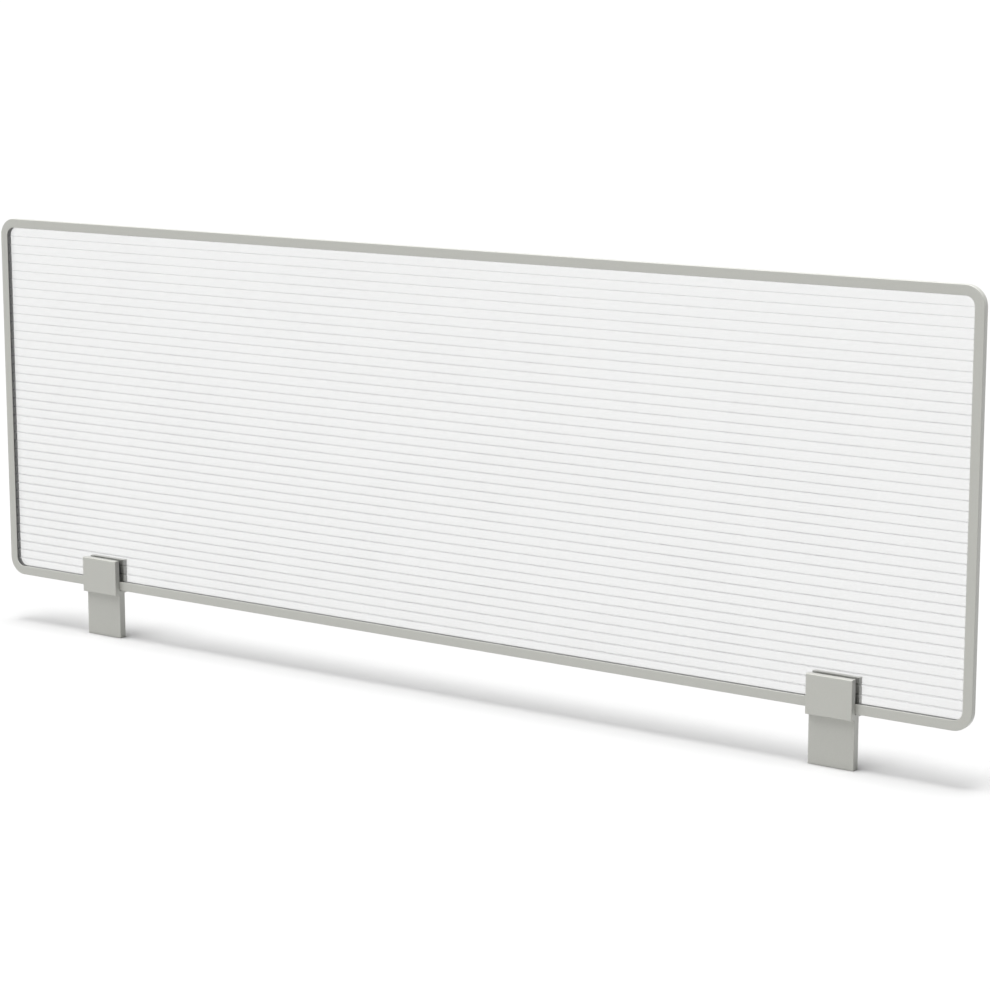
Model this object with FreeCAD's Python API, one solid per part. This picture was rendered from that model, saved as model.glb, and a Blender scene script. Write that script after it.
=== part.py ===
"""Desk privacy panel: a clear twin-wall sheet in a slim channel frame, held by two sliding clamp brackets.

Millimetres. +Z is up, +X runs along the panel and -Y is the outer face that looks away from the desk.
The origin is on the surface under the legs, at the middle of the panel's length and of its thickness.
Each function makes one sub-part, and the bottom of the file writes each as parts/NAME.step.
"""

import FreeCAD
import Part
import math
import os

V = FreeCAD.Vector

# ---------------------------------------------------------------- driving dimensions

PANEL_LENGTH = 1371.6
PANEL_HEIGHT = 457.2
PANEL_CORNER = 22.0

LEG_BELOW_PANEL = 61.7
PANEL_BOTTOM = LEG_BELOW_PANEL

CHANNEL_THICKNESS = 7.6
CHANNEL_WALL = 0.7
CHANNEL_LIP = 11.1
CHANNEL_EDGE = 0.8
CHANNEL_LIP_EDGE = 0.5
SEAM_WIDTH = 0.2

SHEET_THICKNESS = 6.0
SHEET_SKIN = 0.5
SHEET_RIB = 0.45
RIB_PITCH = 10.886
FIRST_RIB = 10.3
SHEET_EDGE_GAP = 0.8

SPLICE_LENGTH = 40.0
SPLICE_THICKNESS = 0.5

BRACKET_OFFSET = 523.4
CLAMP_WIDTH = 56.0
CLAMP_DEPTH = 22.4
CLAMP_WALL = 7.1
CLAMP_TOP = 37.8
CLAMP_LIP_BELOW = 6.2
CLAMP_EDGE = 1.0
WEB_THICKNESS = 3.0

REST_THICKNESS = 0.8
REST_GAP = 0.2
LINER_THICKNESS = 1.0
LINER_INSET = 0.6

LEG_WIDTH = 55.2
LEG_THICKNESS = 9.8
LEG_EDGE = 0.9

LEG_SCREW_OFFSET = 15.0
LEG_SCREW_LINE = 0.0
LEG_SCREW_RADIUS = 2.0
LEG_SCREW_HEAD_RADIUS = 3.7
LEG_SCREW_HEAD_HEIGHT = 2.0
LEG_SCREW_LENGTH = 16.0

DESK_HOLE_RADIUS = 3.1
DESK_HOLE_DEPTH = 7.0
DESK_HOLE_SPACING = 28.0
DESK_HOLE_MIDDLE = 26.0

POCKET_WIDTH = 48.0
POCKET_HEIGHT = 20.0
POCKET_MIDDLE = 24.4
POCKET_PLAY = 0.3
PLATE_TRAVEL = 1.6
PLATE_THICKNESS = 1.4
PAD_THICKNESS = 0.8
PAD_GAP = 0.1

SET_SCREW_OFFSET = 14.0
SET_SCREW_RADIUS = 2.5
SET_SCREW_ROOT = 2.1
SET_SCREW_PITCH = 0.8
SET_SCREW_CLEARANCE = 0.05
HEX_SOCKET_2_5 = 2.5
SOCKET_DEPTH = 2.3

RUNNING_GAP = 0.05

# ---------------------------------------------------------------- places worked out from them

SHEET_MARGIN = CHANNEL_WALL + SHEET_EDGE_GAP
PANEL_FACE = CHANNEL_THICKNESS / 2
SHEET_FACE = SHEET_THICKNESS / 2
CLAMP_FACE = CLAMP_DEPTH / 2
CLAMP_THROAT = CLAMP_FACE - CLAMP_WALL
CLAMP_TOP_Z = PANEL_BOTTOM + CLAMP_TOP
REST_TOP_Z = PANEL_BOTTOM - REST_GAP
WEB_TOP_Z = REST_TOP_Z - REST_THICKNESS
WEB_UNDER_Z = WEB_TOP_Z - WEB_THICKNESS
LIP_TOP_Z = PANEL_BOTTOM + CHANNEL_LIP
POCKET_Z = PANEL_BOTTOM + POCKET_MIDDLE
PAD_FRONT = SHEET_FACE + PAD_GAP
PLATE_FRONT = PAD_FRONT + PAD_THICKNESS
PLATE_BACK = PLATE_FRONT + PLATE_THICKNESS
POCKET_FLOOR = PLATE_BACK + PLATE_TRAVEL + PAD_GAP
SET_SCREW_TIP = PLATE_BACK + PAD_GAP
SET_SCREW_END = CLAMP_FACE - PAD_GAP
LEG_FRONT = -CLAMP_THROAT
LEG_BACK = LEG_FRONT + LEG_THICKNESS


# ---------------------------------------------------------------- shared shapes

def box(x0, x1, y0, y1, z0, z1):
    """A box between two opposite corners."""
    return Part.makeBox(x1 - x0, y1 - y0, z1 - z0, V(x0, y0, z0))


def centred_box(x, y0, y1, z, width, height):
    """A box whose middle is at x and z, between the planes y0 and y1."""
    return box(x - width / 2, x + width / 2, y0, y1, z - height / 2, z + height / 2)


def rounded_slab(margin, y0, y1):
    """The panel's outline, drawn in by margin, as a slab between the planes y0 and y1."""
    half = PANEL_LENGTH / 2 - margin
    low = PANEL_BOTTOM + margin
    high = PANEL_BOTTOM + PANEL_HEIGHT - margin
    slab = box(-half, half, y0, y1, low, high)
    corners = [edge for edge in slab.Edges if edge_runs_along(edge, V(0, 1, 0))]
    return slab.makeFillet(PANEL_CORNER - margin, corners)


def edge_runs_along(edge, direction):
    """True for a straight edge that runs along the given direction."""
    run = edge.Vertexes[-1].Point - edge.Vertexes[0].Point
    if run.Length < 1e-6:
        return False
    return abs(abs(run.dot(direction)) - run.Length) < 1e-6


def edges_at(shape, axis, places):
    """The edges that lie wholly in one of the planes axis = place."""
    found = []
    for edge in shape.Edges:
        bounds = edge.BoundBox
        low = {"x": bounds.XMin, "y": bounds.YMin, "z": bounds.ZMin}[axis]
        high = {"x": bounds.XMax, "y": bounds.YMax, "z": bounds.ZMax}[axis]
        if any(abs(low - place) < 1e-4 and abs(high - place) < 1e-4 for place in places):
            found.append(edge)
    return found


def lies_in_window(edge):
    """True for an edge round the frame's window, and false for one of its outer edges."""
    bounds = edge.BoundBox
    margin = CHANNEL_LIP / 2
    half = PANEL_LENGTH / 2 - margin
    low = PANEL_BOTTOM + margin
    high = PANEL_BOTTOM + PANEL_HEIGHT - margin
    return bounds.XMin > -half and bounds.XMax < half and bounds.ZMin > low and bounds.ZMax < high


def turned(points, base, axis):
    """A solid of revolution from (radius, height) points, standing on base along axis."""
    corners = [V(radius, 0, height) for radius, height in points]
    face = Part.Face(Part.makePolygon(corners + corners[:1]))
    solid = face.revolve(V(0, 0, 0), V(0, 0, 1), 360)
    solid.Placement = FreeCAD.Placement(base, FreeCAD.Rotation(V(0, 0, 1), axis))
    return solid


def hex_prism(across_flats, depth, base, axis):
    """A hexagonal prism of the given depth, standing on base along axis."""
    radius = across_flats / math.sqrt(3)
    corners = [
        V(radius * math.cos(math.radians(60 * i)), radius * math.sin(math.radians(60 * i)), 0)
        for i in range(7)
    ]
    prism = Part.Face(Part.makePolygon(corners)).extrude(V(0, 0, depth))
    prism.Placement = FreeCAD.Placement(base, FreeCAD.Rotation(V(0, 0, 1), axis))
    return prism


# ---------------------------------------------------------------- the panel

def twin_wall_sheet():
    """One extruded sheet: two skins joined by ribs, with the flutes running along the panel."""
    sheet = rounded_slab(SHEET_MARGIN, -SHEET_FACE, SHEET_FACE)
    inner = SHEET_FACE - SHEET_SKIN
    reach = PANEL_LENGTH / 2
    low = PANEL_BOTTOM + SHEET_MARGIN + SHEET_SKIN
    top = PANEL_BOTTOM + PANEL_HEIGHT - SHEET_MARGIN - SHEET_SKIN
    rib = PANEL_BOTTOM + FIRST_RIB
    flutes = []
    while rib < top:
        flutes.append(box(-reach, reach, -inner, inner, low, rib - SHEET_RIB / 2))
        low = rib + SHEET_RIB / 2
        rib += RIB_PITCH
    flutes.append(box(-reach, reach, -inner, inner, low, top))
    return sheet.cut(Part.makeCompound(flutes))


def frame_channel():
    """The U-channel bent round the sheet in one loop, its ends meeting inside the left clamp."""
    faces = (-PANEL_FACE, PANEL_FACE)
    loop = rounded_slab(0.0, *faces)
    loop = loop.makeFillet(CHANNEL_EDGE, edges_at(loop, "y", faces))
    loop = loop.cut(rounded_slab(CHANNEL_LIP, -CHANNEL_THICKNESS, CHANNEL_THICKNESS))
    lip_edges = [edge for edge in edges_at(loop, "y", faces) if lies_in_window(edge)]
    loop = loop.makeFillet(CHANNEL_LIP_EDGE, lip_edges)
    half_groove = PANEL_FACE - CHANNEL_WALL
    loop = loop.cut(rounded_slab(CHANNEL_WALL, -half_groove, half_groove))
    seam = box(
        -BRACKET_OFFSET - SEAM_WIDTH / 2,
        -BRACKET_OFFSET + SEAM_WIDTH / 2,
        -CHANNEL_THICKNESS,
        CHANNEL_THICKNESS,
        PANEL_BOTTOM - CHANNEL_LIP,
        LIP_TOP_Z + CHANNEL_LIP,
    )
    return loop.cut(seam)


def frame_splice():
    """The strip in the bottom of the channel that bridges its seam."""
    half_width = PANEL_FACE - CHANNEL_WALL - RUNNING_GAP
    floor = PANEL_BOTTOM + CHANNEL_WALL
    return box(
        -BRACKET_OFFSET - SPLICE_LENGTH / 2,
        -BRACKET_OFFSET + SPLICE_LENGTH / 2,
        -half_width,
        half_width,
        floor,
        floor + SPLICE_THICKNESS,
    )


# ---------------------------------------------------------------- a bracket

def clamp_profile():
    """The clamp's section: a front wall that laps over the leg, a web under the rail and a rear wall."""
    lap = PANEL_BOTTOM - CLAMP_LIP_BELOW
    corners = [
        (-CLAMP_FACE, lap),
        (-CLAMP_THROAT, lap),
        (-CLAMP_THROAT, WEB_UNDER_Z),
        (CLAMP_FACE, WEB_UNDER_Z),
        (CLAMP_FACE, CLAMP_TOP_Z),
        (CLAMP_THROAT, CLAMP_TOP_Z),
        (CLAMP_THROAT, WEB_TOP_Z),
        (-CLAMP_THROAT, WEB_TOP_Z),
        (-CLAMP_THROAT, CLAMP_TOP_Z),
        (-CLAMP_FACE, CLAMP_TOP_Z),
    ]
    points = [V(0, y, z) for y, z in corners]
    return Part.Face(Part.makePolygon(points + points[:1]))


def clamp_channel(x):
    """The clamp that straddles the rail, with a pocket for the pressure plate and its screw holes."""
    body = clamp_profile().extrude(V(CLAMP_WIDTH, 0, 0))
    body.translate(V(x - CLAMP_WIDTH / 2, 0, 0))
    outer = edges_at(body, "y", (-CLAMP_FACE, CLAMP_FACE))
    body = body.makeFillet(CLAMP_EDGE, outer)
    body = body.cut(centred_box(x, 0, POCKET_FLOOR, POCKET_Z, POCKET_WIDTH, POCKET_HEIGHT))
    for side in (-1, 1):
        bore = Part.makeCylinder(
            SET_SCREW_RADIUS + SET_SCREW_CLEARANCE,
            CLAMP_DEPTH,
            V(x + side * SET_SCREW_OFFSET, 0, POCKET_Z),
            V(0, 1, 0),
        )
        body = body.cut(bore)
        body = body.cut(countersink(x + side * LEG_SCREW_OFFSET))
    return body


def countersink(x):
    """The clearance hole and cone for one countersunk screw in the clamp's web."""
    shank = LEG_SCREW_RADIUS + RUNNING_GAP
    head = LEG_SCREW_HEAD_RADIUS + RUNNING_GAP
    points = [
        (0, 0),
        (shank, 0),
        (shank, WEB_THICKNESS - LEG_SCREW_HEAD_HEIGHT),
        (head, WEB_THICKNESS),
        (head, WEB_THICKNESS + RUNNING_GAP),
        (0, WEB_THICKNESS + RUNNING_GAP),
    ]
    return turned(points, V(x, LEG_SCREW_LINE, WEB_UNDER_Z), V(0, 0, 1))


def leg_bar(x):
    """The flat bar under the clamp, tapped on top for the clamp and on its rear face for the desk."""
    bar = box(x - LEG_WIDTH / 2, x + LEG_WIDTH / 2, LEG_FRONT, LEG_BACK, 0, WEB_UNDER_Z)
    upright = [edge for edge in bar.Edges if edge_runs_along(edge, V(0, 0, 1))]
    bar = bar.makeFillet(LEG_EDGE, upright + edges_at(bar, "z", (0.0,)))
    depth = LEG_SCREW_LENGTH
    for side in (-1, 1):
        tapped = Part.makeCylinder(
            LEG_SCREW_RADIUS + RUNNING_GAP,
            depth,
            V(x + side * LEG_SCREW_OFFSET, LEG_SCREW_LINE, WEB_UNDER_Z - depth),
            V(0, 0, 1),
        )
        bar = bar.cut(tapped)
        hole = Part.makeCylinder(
            DESK_HOLE_RADIUS,
            DESK_HOLE_DEPTH,
            V(x, LEG_BACK - DESK_HOLE_DEPTH, DESK_HOLE_MIDDLE + side * DESK_HOLE_SPACING / 2),
            V(0, 1, 0),
        )
        bar = bar.cut(hole)
    return bar


def leg_screws(x):
    """The two countersunk screws that hold the clamp's web down on the leg."""
    tip = LEG_SCREW_RADIUS * 0.6
    points = [
        (0, 0),
        (tip, 0),
        (LEG_SCREW_RADIUS, LEG_SCREW_RADIUS - tip),
        (LEG_SCREW_RADIUS, LEG_SCREW_LENGTH - LEG_SCREW_HEAD_HEIGHT),
        (LEG_SCREW_HEAD_RADIUS, LEG_SCREW_LENGTH),
        (0, LEG_SCREW_LENGTH),
    ]
    screws = []
    for side in (-1, 1):
        place = V(x + side * LEG_SCREW_OFFSET, LEG_SCREW_LINE, WEB_TOP_Z - LEG_SCREW_LENGTH)
        screw = turned(points, place, V(0, 0, 1))
        socket_base = V(place.x, place.y, WEB_TOP_Z - LEG_SCREW_HEAD_HEIGHT * 0.8)
        socket = hex_prism(HEX_SOCKET_2_5, LEG_SCREW_HEAD_HEIGHT, socket_base, V(0, 0, 1))
        screws.append(screw.cut(socket))
    return Part.makeCompound(screws)


def rail_rest(x):
    """The rubber strip on the clamp's web that the rail stands on."""
    width = CLAMP_WIDTH - 2 * LINER_INSET
    half = CLAMP_THROAT - RUNNING_GAP
    return box(x - width / 2, x + width / 2, -half, half, WEB_TOP_Z, REST_TOP_Z)


def front_liner(x):
    """The rubber pad inside the front wall, bearing on the sheet just above the rail."""
    width = CLAMP_WIDTH - 2 * LINER_INSET
    low = LIP_TOP_Z + LINER_INSET
    high = CLAMP_TOP_Z - LINER_INSET
    back = -CLAMP_THROAT + LINER_THICKNESS
    return box(x - width / 2, x + width / 2, -CLAMP_THROAT, back, low, high)


def pressure_plate(x):
    """The steel plate in the rear wall's pocket that the set screws push on."""
    width = POCKET_WIDTH - 2 * POCKET_PLAY
    height = POCKET_HEIGHT - 2 * POCKET_PLAY
    return centred_box(x, PLATE_FRONT, PLATE_BACK, POCKET_Z, width, height)


def pressure_pad(x):
    """The rubber pad bonded to the pressure plate, bearing on the sheet's rear skin."""
    width = POCKET_WIDTH - 2 * POCKET_PLAY - 2 * LINER_INSET
    height = POCKET_HEIGHT - 2 * POCKET_PLAY - 2 * LINER_INSET
    return centred_box(x, PAD_FRONT, PLATE_FRONT, POCKET_Z, width, height)


def set_screw(x):
    """A headless screw with a hexagon socket, its thread drawn as rings at the real pitch."""
    length = SET_SCREW_END - SET_SCREW_TIP
    chamfer = SET_SCREW_RADIUS - SET_SCREW_ROOT
    points = [(0, 0), (SET_SCREW_ROOT, 0)]
    height = chamfer
    while height + SET_SCREW_PITCH < length:
        points.append((SET_SCREW_RADIUS, height))
        points.append((SET_SCREW_RADIUS, height + SET_SCREW_PITCH * 0.15))
        points.append((SET_SCREW_ROOT, height + SET_SCREW_PITCH * 0.55))
        height += SET_SCREW_PITCH
    points += [
        (SET_SCREW_RADIUS, height),
        (SET_SCREW_RADIUS, length - chamfer),
        (SET_SCREW_ROOT, length),
        (0, length),
    ]
    screw = turned(points, V(x, SET_SCREW_TIP, POCKET_Z), V(0, 1, 0))
    socket_base = V(x, SET_SCREW_END - SOCKET_DEPTH, POCKET_Z)
    return screw.cut(hex_prism(HEX_SOCKET_2_5, SOCKET_DEPTH * 1.1, socket_base, V(0, 1, 0)))


# ---------------------------------------------------------------- the assembly

def panel_parts():
    """The sheet and its frame."""
    return {
        "twin_wall_sheet": twin_wall_sheet(),
        "frame_channel": frame_channel(),
        "frame_splice": frame_splice(),
    }


def bracket_parts(name, x):
    """One clamp bracket, whose middle stands at x."""
    return {
        name + "_clamp_channel": clamp_channel(x),
        name + "_leg_bar": leg_bar(x),
        name + "_leg_screws": leg_screws(x),
        name + "_rail_rest": rail_rest(x),
        name + "_front_liner": front_liner(x),
        name + "_pressure_plate": pressure_plate(x),
        name + "_pressure_pad": pressure_pad(x),
        name + "_set_screw_a": set_screw(x - SET_SCREW_OFFSET),
        name + "_set_screw_b": set_screw(x + SET_SCREW_OFFSET),
    }


def write(parts):
    """Check each sub-part and write it to its own file."""
    os.makedirs("parts", exist_ok=True)
    for name, shape in parts.items():
        if not shape.isValid():
            raise ValueError(name + " isn't a valid shape")
        shape.exportStep("parts/" + name + ".step")
        print(name, len(shape.Solids), "solid(s)", round(shape.Volume, 1), "mm3")


write(panel_parts())
write(bracket_parts("left", -BRACKET_OFFSET))
write(bracket_parts("right", BRACKET_OFFSET))
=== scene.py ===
"""Desk privacy panel: finishes, threads, floor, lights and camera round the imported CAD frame.

Everything is in metres, in the part's own frame: +Z up, +X along the panel, +Y towards the desk.
Each sub-assembly is a class that builds its own meshes and dresses its own nodes, and each finish is a
frozen dataclass that makes one material. Effects that several finishes share are node groups.
"""

import logging
import math
from dataclasses import dataclass, field
from enum import Enum
from typing import Callable, Iterable, Sequence

import bmesh
import bpy
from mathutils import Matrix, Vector


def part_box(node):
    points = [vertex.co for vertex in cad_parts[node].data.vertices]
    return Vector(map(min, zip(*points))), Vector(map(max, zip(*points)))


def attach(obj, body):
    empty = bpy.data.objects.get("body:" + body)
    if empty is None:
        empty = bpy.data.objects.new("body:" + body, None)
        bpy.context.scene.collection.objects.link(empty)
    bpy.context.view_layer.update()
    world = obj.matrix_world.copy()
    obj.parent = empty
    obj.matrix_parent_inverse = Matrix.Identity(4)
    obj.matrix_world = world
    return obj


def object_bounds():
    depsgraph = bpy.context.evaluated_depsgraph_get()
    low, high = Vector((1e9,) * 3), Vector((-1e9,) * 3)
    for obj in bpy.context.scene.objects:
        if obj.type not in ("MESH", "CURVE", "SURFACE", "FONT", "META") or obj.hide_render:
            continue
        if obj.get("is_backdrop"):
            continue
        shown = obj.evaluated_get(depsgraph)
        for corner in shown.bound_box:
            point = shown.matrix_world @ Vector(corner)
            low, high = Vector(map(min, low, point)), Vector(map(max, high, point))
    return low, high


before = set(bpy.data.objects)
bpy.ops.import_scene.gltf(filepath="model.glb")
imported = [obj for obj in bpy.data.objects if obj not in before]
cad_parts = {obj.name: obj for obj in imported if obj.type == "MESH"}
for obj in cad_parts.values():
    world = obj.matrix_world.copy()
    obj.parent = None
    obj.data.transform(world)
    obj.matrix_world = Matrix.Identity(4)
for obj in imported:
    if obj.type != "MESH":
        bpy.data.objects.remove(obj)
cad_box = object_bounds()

LOG = logging.getLogger("privacy_panel")

MM = 0.001
FIRST_RIB = 10.3 * MM
RIB_PITCH = 10.886 * MM

NODE_SPACING = 180
# the Mix node's colour sockets, which follow those for numbers and vectors
MIX_UNDER, MIX_OVER, MIX_RESULT = 6, 7, 2

Colour = tuple[float, float, float]
Sockets = dict[str, bpy.types.NodeSocket]


class Side(Enum):
    """The two brackets, by the end of the panel that they stand at."""

    LEFT = "left"
    RIGHT = "right"


# ---------------------------------------------------------------- node trees


@dataclass
class Tree:
    """A node tree with short ways to add and join nodes.

    Args:
        tree: the Blender node tree that is being filled.
        column: how many nodes it has been given so far, which places the next one.
    """

    tree: bpy.types.NodeTree
    column: int = 0

    def add(self, kind: str, **settings: object) -> bpy.types.Node:
        """Adds one node.

        Args:
            kind: the node's Blender type, such as ShaderNodeMath.
            settings: properties to set on it.

        Returns:
            The new node.
        """
        node = self.tree.nodes.new(kind)
        node.location = (self.column * NODE_SPACING, 0)
        self.column += 1
        for name, value in settings.items():
            setattr(node, name, value)
        return node

    def feed(self, target: bpy.types.NodeSocket, source: object) -> None:
        """Links a socket to another socket, or sets it to a plain value.

        Args:
            target: the input socket.
            source: an output socket, a number, a vector or a colour.
        """
        if isinstance(source, bpy.types.NodeSocket):
            self.tree.links.new(source, target)
        elif isinstance(source, (tuple, list)) and len(source) == 3 and target.type == "RGBA":
            target.default_value = (*source, 1.0)
        else:
            target.default_value = source

    def math(self, operation: str, *values: object) -> bpy.types.NodeSocket:
        """Adds a Math node.

        Args:
            operation: the Math node's operation.
            values: its inputs in order.

        Returns:
            The result's socket.
        """
        node = self.add("ShaderNodeMath", operation=operation)
        for socket, value in zip(node.inputs, values):
            self.feed(socket, value)
        return node.outputs[0]

    def vector(self, operation: str, *values: object) -> bpy.types.Node:
        """Adds a Vector Math node.

        Args:
            operation: the node's operation.
            values: its inputs in order.

        Returns:
            The node, whose outputs are a vector and a value.
        """
        node = self.add("ShaderNodeVectorMath", operation=operation)
        for socket, value in zip(node.inputs, values):
            self.feed(socket, value)
        return node

    def spread(
        self, value: object, low: float, high: float, to_low: float, to_high: float
    ) -> bpy.types.NodeSocket:
        """Maps a value from one range to another, clamped and with soft ends.

        Args:
            value: the socket to map.
            low: the value that gives to_low.
            high: the value that gives to_high.
            to_low: the first end of the result's range.
            to_high: the other end.

        Returns:
            The result's socket.
        """
        node = self.add("ShaderNodeMapRange", interpolation_type="SMOOTHSTEP")
        for socket, number in zip(node.inputs, (value, low, high, to_low, to_high)):
            self.feed(socket, number)
        return node.outputs[0]

    def noise(self, position: object, scale: object, detail: float) -> bpy.types.NodeSocket:
        """Adds a noise texture.

        Args:
            position: the socket that says where on the surface each point is.
            scale: how many blobs there are to a metre, as a number or a socket.
            detail: how many finer layers are added.

        Returns:
            The noise as a value from 0 to 1.
        """
        node = self.add("ShaderNodeTexNoise")
        self.feed(node.inputs["Vector"], position)
        self.feed(node.inputs["Scale"], scale)
        self.feed(node.inputs["Detail"], detail)
        return node.outputs["Fac"]

    def blend(self, share: object, under: object, over: object) -> bpy.types.NodeSocket:
        """Mixes two colours.

        Args:
            share: how much of the upper one shows, from 0 to 1.
            under: the lower colour.
            over: the upper colour.

        Returns:
            The resulting colour's socket.
        """
        node = self.add("ShaderNodeMix", data_type="RGBA", blend_type="MIX")
        self.feed(node.inputs["Factor"], share)
        self.feed(node.inputs[MIX_UNDER], under)
        self.feed(node.inputs[MIX_OVER], over)
        return node.outputs[MIX_RESULT]

    def group(self, tree: bpy.types.NodeTree, **values: object) -> bpy.types.Node:
        """Places a shared effect.

        Args:
            tree: the node group.
            values: its inputs by name, with _ for a space.

        Returns:
            The group's node.
        """
        node = self.add("ShaderNodeGroup", node_tree=tree)
        for name, value in values.items():
            self.feed(node.inputs[name.replace("_", " ")], value)
        return node


@dataclass(frozen=True)
class Socket:
    """One named input or output of a shared effect."""

    name: str
    kind: str = "NodeSocketFloat"
    start: object = None


def shared_effect(
    name: str,
    inputs: Sequence[Socket],
    outputs: Sequence[Socket],
    fill: Callable[[Tree, Sockets], Sockets],
) -> bpy.types.NodeTree:
    """Builds a node group with named sockets.

    Args:
        name: what the effect is called.
        inputs: its input sockets.
        outputs: its output sockets.
        fill: takes the tree and the inputs by name, and returns what feeds each output.

    Returns:
        The node group.
    """
    group = bpy.data.node_groups.new(name, "ShaderNodeTree")
    for socket, way in [(s, "INPUT") for s in inputs] + [(s, "OUTPUT") for s in outputs]:
        made = group.interface.new_socket(name=socket.name, in_out=way, socket_type=socket.kind)
        if socket.start is not None:
            made.default_value = socket.start
    tree = Tree(group)
    entry = tree.add("NodeGroupInput")
    results = fill(tree, {s.name: entry.outputs[s.name] for s in inputs})
    leave = tree.add("NodeGroupOutput")
    for name_out, source in results.items():
        tree.feed(leave.inputs[name_out], source)
    return group


# ---------------------------------------------------------------- shared effects


def fill_edge_wear(tree: Tree, given: Sockets) -> Sockets:
    """Finds outer edges by how far a bevelled normal leans from the true one, broken up by noise.

    Args:
        tree: the group's nodes.
        given: its inputs by name.

    Returns:
        The mask.
    """
    least_lean, full_lean = 0.02, 0.25
    patches_per_metre, patch_detail = 240.0, 3.0
    patch_start, patch_full, least_patch = 0.42, 0.62, 0.25
    bevel = tree.add("ShaderNodeBevel", samples=4)
    tree.feed(bevel.inputs["Radius"], given["Width"])
    true_normal = tree.add("ShaderNodeNewGeometry").outputs["Normal"]
    agreement = tree.vector("DOT_PRODUCT", bevel.outputs[0], true_normal).outputs["Value"]
    lean = tree.math("SUBTRACT", 1.0, agreement)
    edge = tree.spread(lean, least_lean, full_lean, 0.0, 1.0)
    blobs = tree.noise(given["Position"], patches_per_metre, patch_detail)
    patches = tree.spread(blobs, patch_start, patch_full, least_patch, 1.0)
    return {"Mask": tree.math("MULTIPLY", tree.math("MULTIPLY", edge, patches), given["Strength"])}


def fill_grain(tree: Tree, given: Sockets) -> Sockets:
    """Pebbles a surface finely, at two scales.

    Args:
        tree: the group's nodes.
        given: its inputs by name.

    Returns:
        The pebbles' height, and a gentle tone that follows it.
    """
    fine_detail, broad_detail = 3.0, 1.0
    broad_scale, fine_weight, broad_weight = 0.21, 0.65, 0.35
    hollow, crest = 0.35, 0.65
    fine = tree.noise(given["Position"], given["Grains Per Metre"], fine_detail)
    broad_grains = tree.math("MULTIPLY", given["Grains Per Metre"], broad_scale)
    broad = tree.noise(given["Position"], broad_grains, broad_detail)
    fine_share = tree.math("MULTIPLY", fine, fine_weight)
    broad_share = tree.math("MULTIPLY", broad, broad_weight)
    height = tree.math("ADD", fine_share, broad_share)
    return {"Height": height, "Tone": tree.spread(height, hollow, crest, 0.0, 1.0)}


def fill_handling(tree: Tree, given: Sockets) -> Sockets:
    """Leaves soft uneven patches from wiping and handling, and a few fine scratches.

    Args:
        tree: the group's nodes.
        given: its inputs by name.

    Returns:
        The patches and the scratches.
    """
    smears_per_metre, smear_detail = 9.0, 3.0
    smear_start, smear_full = 0.38, 0.68
    scratches_per_metre = (60.0, 60.0, 1400.0)
    scratch_start, scratch_full = 0.70, 0.78
    smears = tree.noise(given["Position"], smears_per_metre, smear_detail)
    patches = tree.spread(smears, smear_start, smear_full, 0.0, 1.0)
    stretched = tree.vector("MULTIPLY", given["Position"], scratches_per_metre).outputs["Vector"]
    streaks = tree.spread(tree.noise(stretched, 1.0, 1.0), scratch_start, scratch_full, 0.0, 1.0)
    return {"Patches": patches, "Scratches": streaks}


@dataclass
class Effects:
    """The shared effects, each built once."""

    edge_wear: bpy.types.NodeTree = field(init=False)
    grain: bpy.types.NodeTree = field(init=False)
    handling: bpy.types.NodeTree = field(init=False)

    def __post_init__(self) -> None:
        """Builds the node groups."""
        position = Socket("Position", "NodeSocketVector")
        self.edge_wear = shared_effect(
            "Edge wear",
            [position, Socket("Width", start=0.0006), Socket("Strength", start=1.0)],
            [Socket("Mask")],
            fill_edge_wear,
        )
        self.grain = shared_effect(
            "Grain",
            [position, Socket("Grains Per Metre", start=2000.0)],
            [Socket("Height"), Socket("Tone")],
            fill_grain,
        )
        self.handling = shared_effect(
            "Handling marks",
            [position],
            [Socket("Patches"), Socket("Scratches")],
            fill_handling,
        )


# ---------------------------------------------------------------- finishes


@dataclass
class Surface:
    """A new material with its Principled shader and its place on the surface.

    Args:
        name: the material's name.
    """

    name: str
    material: bpy.types.Material = field(init=False)
    tree: Tree = field(init=False)
    shader: bpy.types.Node = field(init=False)
    position: bpy.types.NodeSocket = field(init=False)

    def __post_init__(self) -> None:
        """Makes the material's first nodes."""
        self.material = bpy.data.materials.new(self.name)
        self.material.use_nodes = True
        self.tree = Tree(self.material.node_tree)
        self.tree.tree.nodes.clear()
        output = self.tree.add("ShaderNodeOutputMaterial")
        self.shader = self.tree.add("ShaderNodeBsdfPrincipled")
        self.tree.tree.links.new(self.shader.outputs[0], output.inputs["Surface"])
        self.position = self.tree.add("ShaderNodeTexCoord").outputs["Object"]

    def set(self, **values: object) -> None:
        """Feeds the shader's sockets, by name with _ for a space."""
        for name, value in values.items():
            self.tree.feed(self.shader.inputs[name.replace("_", " ")], value)

    def bump(self, height: bpy.types.NodeSocket, depth: float, strength: float) -> None:
        """Raises the surface by a height from 0 to 1.

        Args:
            height: the height's socket.
            depth: how far 1 stands above 0, in metres.
            strength: how much of it shows.
        """
        node = self.tree.add("ShaderNodeBump")
        node.inputs["Strength"].default_value = strength
        node.inputs["Distance"].default_value = depth
        self.tree.feed(node.inputs["Height"], height)
        self.tree.feed(self.shader.inputs["Normal"], node.outputs["Normal"])


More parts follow.
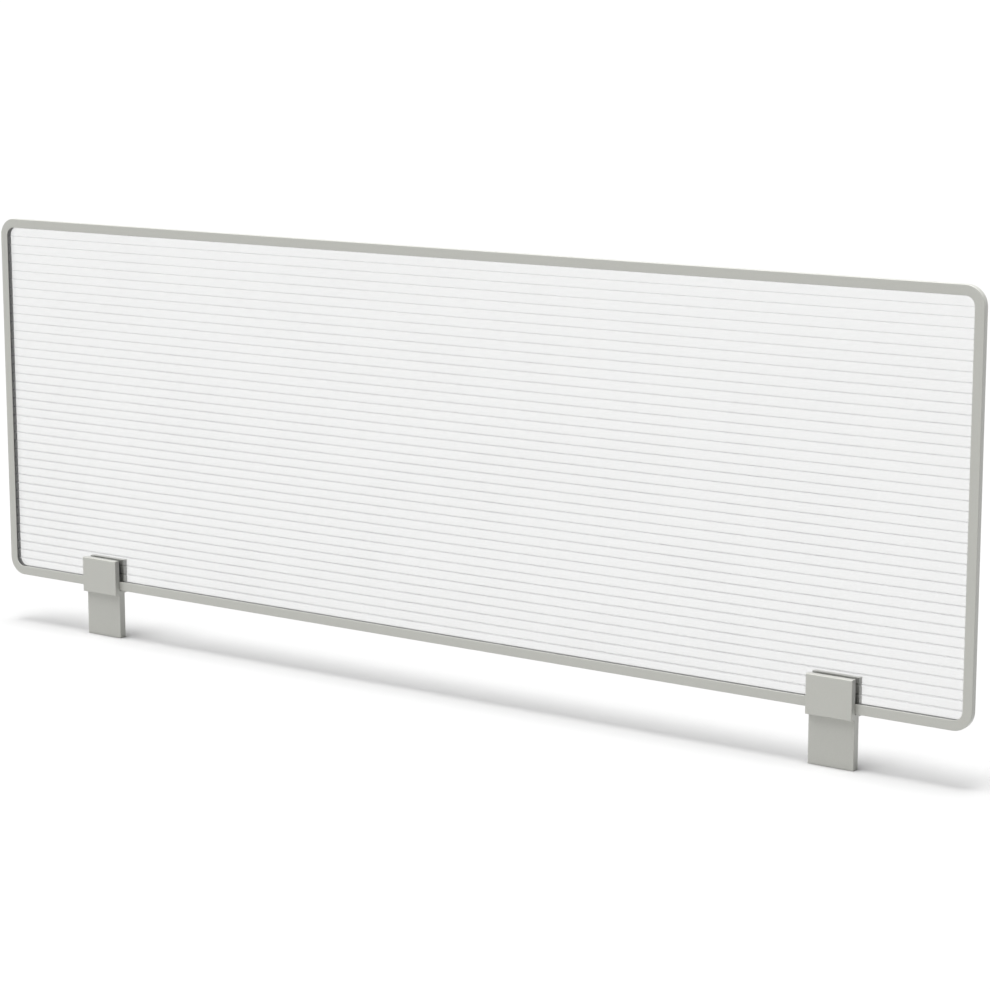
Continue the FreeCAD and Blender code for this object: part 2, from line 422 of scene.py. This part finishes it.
@dataclass(frozen=True)
class SatinCoat:
    """Grey satin coating on aluminium, lighter at its edges, partly from wear and partly as a painted
    highlight.
    """

    name: str
    colour: Colour = (0.447, 0.449, 0.415)
    # lighter edge colour: edge wear and a painted highlight
    worn_and_highlight_colour: Colour = (0.66, 0.665, 0.65)
    roughness: float = 0.42
    grains_per_metre: float = 2600.0
    wear_width: float = 0.0007
    clear_coat: float = 0.55
    clear_coat_roughness: float = 0.24
    hollow_shade: float = 0.955
    wear: float = 0.55
    polish: float = 0.04
    dulling: float = 0.05
    grain_depth: float = 0.00004
    grain_strength: float = 0.35

    def make(self, effects: Effects) -> bpy.types.Material:
        """Builds the material.

        Args:
            effects: the shared node groups.

        Returns:
            The material.
        """
        surface = Surface(self.name)
        tree = surface.tree
        grain = tree.group(effects.grain, Position=surface.position, Grains_Per_Metre=self.grains_per_metre)
        marks = tree.group(effects.handling, Position=surface.position)
        wear = tree.group(
            effects.edge_wear, Position=surface.position, Width=self.wear_width, Strength=self.wear
        )
        darker = tuple(self.hollow_shade * c for c in self.colour)
        toned = tree.blend(grain.outputs["Tone"], darker, self.colour)
        polished, dulled = self.roughness - self.polish, self.roughness + self.dulling
        satin = tree.spread(marks.outputs["Patches"], 0.0, 1.0, polished, dulled)
        # the edges take the lighter colour, which is partly wear and partly a painted highlight
        surface.set(
            Base_Color=tree.blend(wear.outputs["Mask"], toned, self.worn_and_highlight_colour),
            Roughness=satin,
            Metallic=0.0,
        )
        surface.shader.inputs["Coat Weight"].default_value = self.clear_coat
        surface.shader.inputs["Coat Roughness"].default_value = self.clear_coat_roughness
        surface.bump(grain.outputs["Height"], self.grain_depth, self.grain_strength)
        return surface.material


@dataclass(frozen=True)
class ClearSheet:
    """Clear extruded twin-wall sheet, with painted shade greying its ribs and the bands where the skins
    thicken to meet them.

    Args:
        first_rib: the height of the lowest rib, in metres.
        pitch: how far apart the ribs are.
    """

    first_rib: float
    pitch: float
    name: str = "clear twin-wall sheet"
    skin_colour: Colour = (0.917, 0.918, 0.917)
    # painted shade: the junction bands and the rib faces are greyer so that the rib lines read darker
    painted_junction_shade: Colour = (0.885, 0.887, 0.887)
    painted_rib_shade: Colour = (0.86, 0.86, 0.86)
    junction_reach: float = 0.0011
    refraction: float = 1.586
    rib_lean: tuple[float, float] = (0.5, 0.9)
    rib_roughness: float = 0.10
    skin_roughness: tuple[float, float] = (0.02, 0.06)
    die_lines_per_metre: tuple[float, float, float] = (3.0, 900.0, 900.0)
    die_line_depth: float = 0.00001
    die_line_strength: float = 0.2

    def near_rib(self, tree: Tree, height: bpy.types.NodeSocket) -> bpy.types.NodeSocket:
        """Finds where a skin thickens to meet a rib.

        Args:
            tree: the material's nodes.
            height: the height on the sheet.

        Returns:
            A mask, 1 at the middle of a rib and 0 from the junction's reach outwards.
        """
        ribs_up = tree.math("DIVIDE", tree.math("SUBTRACT", height, self.first_rib), self.pitch)
        to_rib = tree.math("MULTIPLY", tree.math("PINGPONG", ribs_up, 0.5), self.pitch)
        return tree.spread(to_rib, 0.0, self.junction_reach, 1.0, 0.0)

    def make(self, effects: Effects) -> bpy.types.Material:
        """Builds the material.

        Args:
            effects: the shared node groups.

        Returns:
            The material.
        """
        surface = Surface(self.name)
        tree = surface.tree
        normal = tree.add("ShaderNodeNewGeometry").outputs["True Normal"]
        upright = tree.add("ShaderNodeSeparateXYZ")
        tree.feed(upright.inputs[0], normal)
        on_rib = tree.spread(tree.math("ABSOLUTE", upright.outputs["Z"]), *self.rib_lean, 0.0, 1.0)
        marks = tree.group(effects.handling, Position=surface.position)
        along = tree.vector("MULTIPLY", surface.position, self.die_lines_per_metre).outputs["Vector"]
        die_lines = tree.noise(along, 1.0, 1.0)
        duller = tree.spread(marks.outputs["Patches"], 0.0, 1.0, *self.skin_roughness)
        place = tree.add("ShaderNodeSeparateXYZ")
        tree.feed(place.inputs[0], surface.position)
        # painted shade: the skin is greyed along each rib junction and the rib faces are greyed, so the rib
        # lines read darker
        junction = self.near_rib(tree, place.outputs["Z"])
        skin = tree.blend(junction, self.skin_colour, self.painted_junction_shade)
        surface.set(
            Base_Color=tree.blend(on_rib, skin, self.painted_rib_shade),
            Roughness=tree.math("ADD", duller, tree.math("MULTIPLY", on_rib, self.rib_roughness)),
        )
        surface.shader.inputs["IOR"].default_value = self.refraction
        surface.shader.inputs["Transmission Weight"].default_value = 1.0
        surface.bump(die_lines, self.die_line_depth, self.die_line_strength)
        return surface.material


@dataclass(frozen=True)
class PlainMetal:
    """Plated, blackened or bare cut metal with a fine crystalline tone."""

    name: str
    colour: Colour
    roughness: float
    metallic: float = 1.0
    grains_per_metre: float = 5200.0
    wear_width: float = 0.0003
    wear: float = 0.8
    worn_gain: float = 1.7
    worn_lift: float = 0.03
    hollow_shade: float = 0.85
    roughness_swing: float = 0.06
    grain_depth: float = 0.00002
    grain_strength: float = 0.3

    def make(self, effects: Effects) -> bpy.types.Material:
        """Builds the material.

        Args:
            effects: the shared node groups.

        Returns:
            The material.
        """
        surface = Surface(self.name)
        tree = surface.tree
        grain = tree.group(effects.grain, Position=surface.position, Grains_Per_Metre=self.grains_per_metre)
        wear = tree.group(
            effects.edge_wear, Position=surface.position, Width=self.wear_width, Strength=self.wear
        )
        lighter = tuple(min(1.0, self.worn_gain * c + self.worn_lift) for c in self.colour)
        darker = tuple(self.hollow_shade * c for c in self.colour)
        tone = grain.outputs["Tone"]
        swing = self.roughness_swing
        toned = tree.blend(tone, darker, self.colour)
        surface.set(
            Base_Color=tree.blend(wear.outputs["Mask"], toned, lighter),
            Roughness=tree.spread(tone, 0.0, 1.0, self.roughness + swing, self.roughness - swing),
        )
        surface.shader.inputs["Metallic"].default_value = self.metallic
        surface.bump(grain.outputs["Height"], self.grain_depth, self.grain_strength)
        return surface.material


@dataclass(frozen=True)
class MouldedRubber:
    """Matt moulded rubber with a fine pebble and a little grey bloom."""

    name: str = "moulded rubber"
    colour: Colour = (0.19, 0.192, 0.184)
    bloom: Colour = (0.27, 0.272, 0.26)
    roughness: tuple[float, float] = (0.72, 0.88)
    grains_per_metre: float = 3600.0
    pebble_depth: float = 0.00006
    pebble_strength: float = 0.6

    def make(self, effects: Effects) -> bpy.types.Material:
        """Builds the material.

        Args:
            effects: the shared node groups.

        Returns:
            The material.
        """
        surface = Surface(self.name)
        tree = surface.tree
        grain = tree.group(effects.grain, Position=surface.position, Grains_Per_Metre=self.grains_per_metre)
        marks = tree.group(effects.handling, Position=surface.position)
        share = tree.math("MULTIPLY", marks.outputs["Patches"], grain.outputs["Tone"])
        surface.set(
            Base_Color=tree.blend(share, self.colour, self.bloom),
            Roughness=tree.spread(grain.outputs["Tone"], 0.0, 1.0, *self.roughness),
        )
        surface.bump(grain.outputs["Height"], self.pebble_depth, self.pebble_strength)
        return surface.material


@dataclass
class Palette:
    """Every finish on the object, made once.

    Args:
        effects: the shared node groups.
    """

    effects: Effects
    frame_coat: bpy.types.Material = field(init=False)
    clamp_coat: bpy.types.Material = field(init=False)
    sheet: bpy.types.Material = field(init=False)
    zinc: bpy.types.Material = field(init=False)
    black: bpy.types.Material = field(init=False)
    rubber: bpy.types.Material = field(init=False)
    bare: bpy.types.Material = field(init=False)

    def __post_init__(self) -> None:
        """Makes the materials."""
        frame_coat = SatinCoat("frame satin coat", grains_per_metre=3000.0, wear_width=0.0004)
        self.frame_coat = frame_coat.make(self.effects)
        self.clamp_coat = SatinCoat("clamp satin coat").make(self.effects)
        lowest_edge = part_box("frame_channel")[0][2]
        self.sheet = ClearSheet(lowest_edge + FIRST_RIB, RIB_PITCH).make(self.effects)
        self.zinc = PlainMetal("zinc-plated steel", (0.58, 0.585, 0.58), 0.34).make(self.effects)
        self.black = PlainMetal("blackened steel", (0.055, 0.055, 0.06), 0.42, 0.9).make(self.effects)
        self.rubber = MouldedRubber().make(self.effects)
        self.bare = PlainMetal("bare cut aluminium", (0.74, 0.745, 0.75), 0.30).make(self.effects)


def dress(node: str, material: bpy.types.Material) -> None:
    """Gives a CAD node its finish.

    Args:
        node: the node's name.
        material: the finish.
    """
    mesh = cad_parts[node].data
    mesh.materials.clear()
    mesh.materials.append(material)


def add_mesh(
    name: str, shape: bmesh.types.BMesh, material: bpy.types.Material, body: str
) -> bpy.types.Object:
    """Turns a built mesh into a piece that rides on a body.

    Args:
        name: the piece's name.
        shape: its mesh, in place, in the part's frame.
        material: its finish.
        body: the CAD body that carries it.

    Returns:
        The piece.
    """
    mesh = bpy.data.meshes.new(name)
    bmesh.ops.recalc_face_normals(shape, faces=shape.faces)
    shape.to_mesh(mesh)
    shape.free()
    mesh.materials.append(material)
    mesh.polygons.foreach_set("use_smooth", [True] * len(mesh.polygons))
    piece = bpy.data.objects.new(name, mesh)
    bpy.context.scene.collection.objects.link(piece)
    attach(piece, body)
    return piece


# ---------------------------------------------------------------- the object


@dataclass
class Screen:
    """The clear sheet and the channel frame round it."""

    palette: Palette

    def build(self) -> list[str]:
        """Dresses the sheet, the frame and its hidden splice.

        Returns:
            The names of the pieces that were dressed.
        """
        finishes = {
            "twin_wall_sheet": self.palette.sheet,
            "frame_channel": self.palette.frame_coat,
            "frame_splice": self.palette.zinc,
        }
        for node, material in finishes.items():
            dress(node, material)
        return list(finishes)


@dataclass(frozen=True)
class TappedHole:
    """The thread cut in one blind hole of a leg's rear face.

    Args:
        mouth: the middle of the hole's mouth, in metres.
        radius: the bore's radius.
        crest: how far the thread's crests stand from the hole's middle.
        pitch: how far the thread advances in a turn.
        turns: how many turns it has.
        steps: how many sections make a turn.
        root_half: half the thread's width at the bore, as a share of the pitch.
        crest_half: half its width at the crest, as a share of the pitch.
        run_out_rate: how fast it rises at its ends, in full heights a turn.
    """

    mouth: Vector
    radius: float = 3.1 * MM
    crest: float = 2.5 * MM
    pitch: float = 1.0 * MM
    turns: int = 6
    steps: int = 40
    root_half: float = 0.45
    crest_half: float = 0.08
    run_out_rate: float = 3.0

    def ring(self, shape: bmesh.types.BMesh, step: int) -> list[bmesh.types.BMVert]:
        """Adds the thread's section at one step round the helix.

        Args:
            shape: the mesh that is being built.
            step: how many steps round the helix it stands.

        Returns:
            The section's points, from the mouth's side to the far side.
        """
        angle = 2 * math.pi * step / self.steps
        last = self.turns * self.steps
        rate = self.run_out_rate
        run_out = min(1.0, rate * step / self.steps, rate * (last - step) / self.steps)
        crest = self.radius - (self.radius - self.crest) * run_out
        middle = self.mouth.y - self.pitch * (0.5 + step / self.steps)
        section = [
            (self.radius, self.root_half),
            (crest, self.crest_half),
            (crest, -self.crest_half),
            (self.radius, -self.root_half),
        ]
        return [
            shape.verts.new((
                self.mouth.x + reach * math.cos(angle),
                middle + along * self.pitch,
                self.mouth.z + reach * math.sin(angle),
            ))
            for reach, along in section
        ]

    def build(self) -> bmesh.types.BMesh:
        """Sweeps the section round the helix and closes both ends.

        Returns:
            The thread's mesh.
        """
        shape = bmesh.new()
        rings = [self.ring(shape, step) for step in range(self.turns * self.steps + 1)]
        for here, there in zip(rings, rings[1:]):
            for i in range(len(here)):
                j = (i + 1) % len(here)
                shape.faces.new((here[i], here[j], there[j], there[i]))
        shape.faces.new(rings[0])
        shape.faces.new(reversed(rings[-1]))
        return shape


@dataclass
class Bracket:
    """One clamp bracket with its leg, its rubber pads and its set screws."""

    side: Side
    palette: Palette
    hole_heights: tuple[float, float] = (12.0 * MM, 40.0 * MM)

    def node(self, name: str) -> str:
        """The full name of one of this bracket's nodes or bodies."""
        return f"{self.side.value}_{name}"

    def build(self) -> list[str]:
        """Dresses the bracket's nodes.

        Returns:
            The names of the pieces that were dressed.
        """
        finishes = {
            "clamp_channel": self.palette.clamp_coat,
            "leg_bar": self.palette.clamp_coat,
            "leg_screws": self.palette.zinc,
            "rail_rest": self.palette.rubber,
            "front_liner": self.palette.rubber,
            "pressure_plate": self.palette.zinc,
            "pressure_pad": self.palette.rubber,
            "set_screw_a": self.palette.black,
            "set_screw_b": self.palette.black,
        }
        for name, material in finishes.items():
            dress(self.node(name), material)
        return [self.node(name) for name in finishes] + list(self.cut_threads())

    def cut_threads(self) -> Iterable[str]:
        """Adds the thread in each of the leg's tapped holes.

        Returns:
            The names of the new pieces.
        """
        low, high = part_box(self.node("leg_bar"))
        for place, height in zip(("lower", "upper"), self.hole_heights):
            mouth = Vector(((low[0] + high[0]) / 2, high[1], low[2] + height))
            name = self.node(f"{place}_thread")
            thread = TappedHole(mouth).build()
            add_mesh(name, thread, self.palette.bare, self.node("bracket"))
            yield name


# ---------------------------------------------------------------- the studio


@dataclass(frozen=True)
class Lamp:
    """A soft lamp that lights everything from one direction.

    Args:
        name: the lamp's name.
        strength: how strong it is.
        width: how wide it looks, in degrees.
        heading: the direction that its light travels.
        ignores: the name of a clear node that neither shades nor mirrors it, or nothing.
    """

    name: str
    strength: float
    width: float
    heading: tuple[float, float, float]
    ignores: str = ""

    def build(self) -> None:
        """Hangs the lamp."""
        lamp = bpy.data.lights.new(self.name, "SUN")
        lamp.energy = self.strength
        lamp.angle = math.radians(self.width)
        holder = bpy.data.objects.new(self.name, lamp)
        holder.rotation_euler = Vector(self.heading).to_track_quat("-Z", "Y").to_euler()
        holder.visible_transmission = False
        bpy.context.scene.collection.objects.link(holder)
        if self.ignores:
            left_out = bpy.data.collections.new(f"{self.name} leaves out")
            left_out.objects.link(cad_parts[self.ignores])
            left_out.collection_objects[0].light_linking.link_state = "EXCLUDE"
            holder.light_linking.blocker_collection = left_out
            holder.light_linking.receiver_collection = left_out


LAMPS = (
    Lamp("overhead", 3.28, 18.0, (0.0, 0.04, -1.0)),
    Lamp("high fill", 2.26, 50.0, (0.27, 0.34, -0.90), "twin_wall_sheet"),
    Lamp("front fill", 0.50, 60.0, (0.20, 0.94, -0.27), "twin_wall_sheet"),
)


@dataclass(frozen=True)
class Studio:
    """A seamless pale floor, an even room and the camera."""

    floor_reach: float = 90.0
    floor_colour: Colour = (0.552, 0.552, 0.552)
    floor_roughness: float = 0.9
    room_light: float = 0.15
    room_seen: float = 1.0
    eye: tuple[float, float, float] = (1.95315, -2.56964, 0.81995)
    turn: float = math.radians(35.90)
    tilt: float = math.radians(10.72)
    sensor: float = 36.0
    lens: float = 104.17
    shift: tuple[float, float] = (-0.0066, 0.0229)
    clip: tuple[float, float] = (0.05, 200.0)

    def add_floor(self) -> None:
        """Lays the floor under the legs."""
        reach = self.floor_reach
        mesh = bpy.data.meshes.new("floor")
        corners = [(-reach, -reach, 0), (reach, -reach, 0), (reach, reach, 0), (-reach, reach, 0)]
        mesh.from_pydata(corners, [], [(0, 1, 2, 3)])
        surface = Surface("pale floor")
        surface.set(Base_Color=self.floor_colour, Roughness=self.floor_roughness)
        surface.shader.inputs["Specular IOR Level"].default_value = 0.0
        mesh.materials.append(surface.material)
        floor = bpy.data.objects.new("floor", mesh)
        bpy.context.scene.collection.objects.link(floor)
        floor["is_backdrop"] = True

    def light_room(self) -> None:
        """Fills the room with even pale light, seen as white and softer on the object."""
        world = bpy.data.worlds.new("pale room")
        world.use_nodes = True
        tree = Tree(world.node_tree)
        tree.tree.nodes.clear()
        bounces = tree.add("ShaderNodeLightPath").outputs["Diffuse Depth"]
        strength = tree.spread(bounces, 0.0, 1.0, self.room_seen, self.room_light)
        background = tree.add("ShaderNodeBackground")
        tree.feed(background.inputs["Strength"], strength)
        output = tree.add("ShaderNodeOutputWorld")
        tree.tree.links.new(background.outputs[0], output.inputs["Surface"])
        background.inputs["Color"].default_value = (1.0, 1.0, 1.0, 1.0)
        bpy.context.scene.world = world

    def add_camera(self) -> None:
        """Sets the camera up, low to the right and looking slightly down."""
        lens = bpy.data.cameras.new("camera")
        lens.sensor_width = self.sensor
        lens.lens = self.lens
        lens.shift_x, lens.shift_y = self.shift
        lens.clip_start, lens.clip_end = self.clip
        camera = bpy.data.objects.new("camera", lens)
        camera.location = self.eye
        camera.rotation_euler = (math.pi / 2 - self.tilt, 0.0, self.turn)
        bpy.context.scene.collection.objects.link(camera)
        bpy.context.scene.camera = camera

    def build(self) -> None:
        """Sets up the floor, the lights and the camera."""
        self.add_floor()
        for lamp in LAMPS:
            lamp.build()
        self.light_room()
        self.add_camera()
        view = bpy.context.scene.view_settings
        view.view_transform = "Standard"
        view.look = "None"


def main() -> None:
    """Builds the studio and the object, and reports each piece."""
    logging.basicConfig(level=logging.INFO, format="%(name)s: %(message)s")
    Studio().build()
    palette = Palette(Effects())
    assemblies = [Screen(palette), *(Bracket(side, palette) for side in Side)]
    for assembly in assemblies:
        for piece in assembly.build():
            LOG.info("%s, %.0f x %.0f x %.0f mm", piece, *(bpy.data.objects[piece].dimensions / MM))
    visual_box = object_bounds()
    boxes = {"cad": cad_box, "visual": visual_box}
    {name: [list(corner) for corner in box] for name, box in boxes.items()}


if __name__ == "__main__":
    main()
